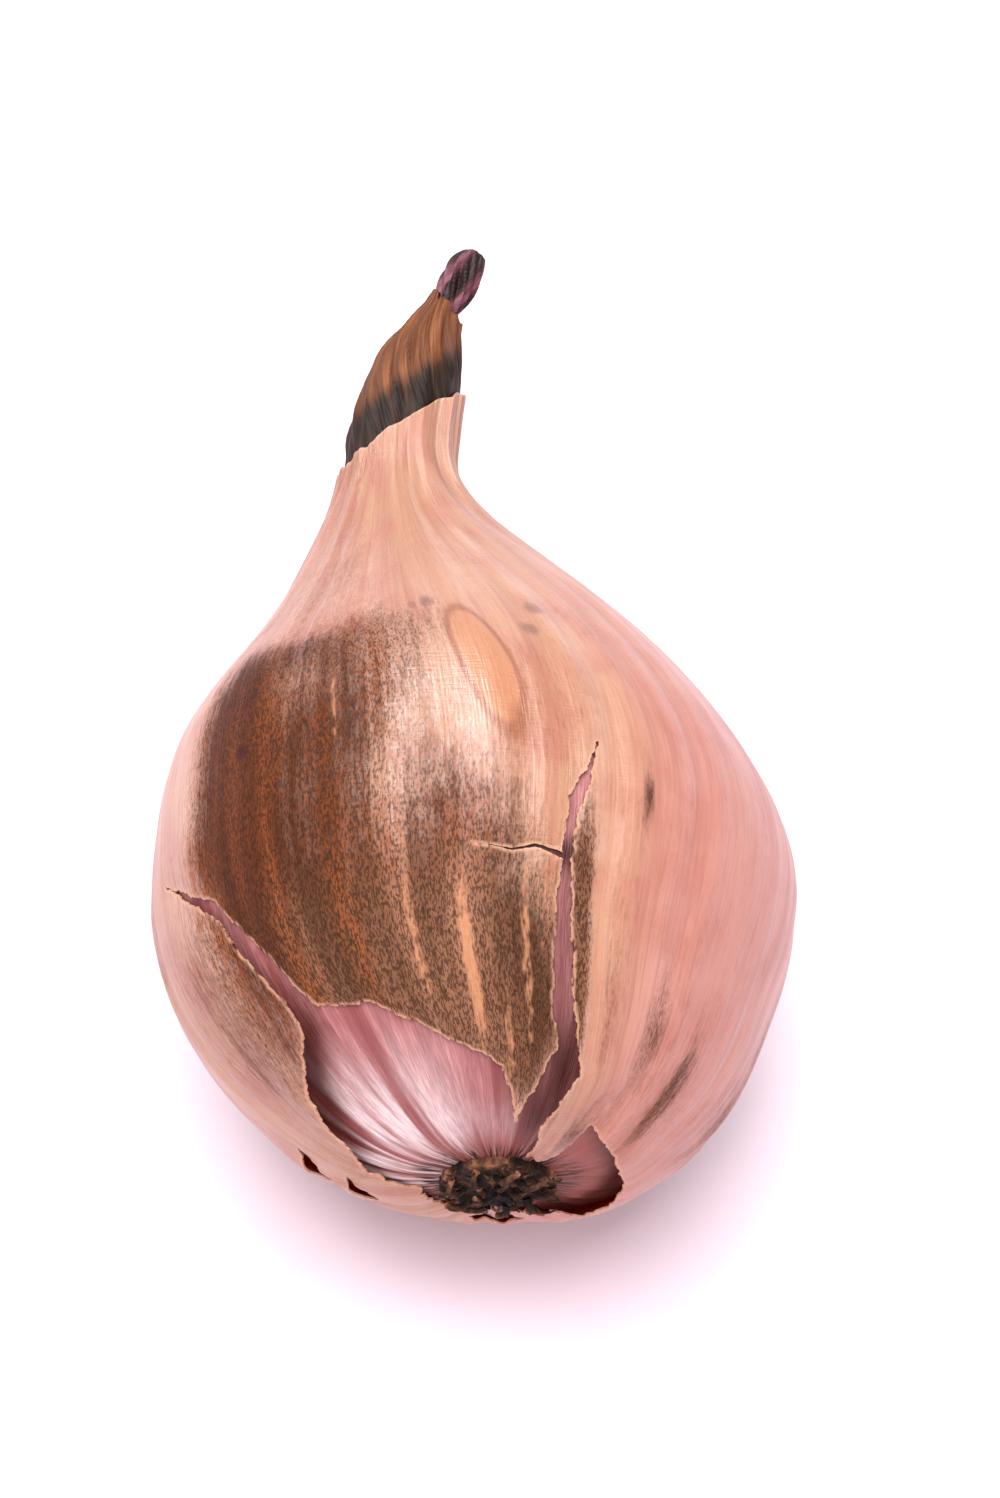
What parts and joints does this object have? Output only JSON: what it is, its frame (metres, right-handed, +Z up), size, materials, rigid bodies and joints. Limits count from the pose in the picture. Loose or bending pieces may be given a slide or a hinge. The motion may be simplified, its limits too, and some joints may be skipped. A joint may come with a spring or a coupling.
{
  "type": "shallot",
  "caption": "Whole shallot lying on its side: round bulb with torn papery skin over a purple inner skin, dried twisted neck and dried root plate.",
  "frame": {"origin": "middle of the small flat spot on the underside that the shallot rests on", "axes": "+Y from the root end to the dried neck, along the length; +Z up; +X to the right seen from the root end"},
  "size_m": [0.04, 0.0657, 0.039],
  "materials": {
    "inner_skin": "satin",
    "papery_skin": "satin",
    "dried_sheath": "matte",
    "dried_tip": "satin",
    "root_plate": "matte",
    "dried_root": "matte"
  },
  "bodies": {
    "root": {"bulb": "inner_skin", "outer_skin": "papery_skin", "neck_sheath": "dried_sheath", "neck_tip": "dried_tip", "root_plate": "root_plate", "root_01": "dried_root", "root_02": "dried_root", "root_03": "dried_root", "root_04": "dried_root", "root_05": "dried_root", "root_06": "dried_root", "root_07": "dried_root", "root_08": "dried_root", "root_09": "dried_root", "root_10": "dried_root", "root_11": "dried_root", "root_12": "dried_root", "root_13": "dried_root", "root_14": "dried_root"}
  },
  "joints": []
}
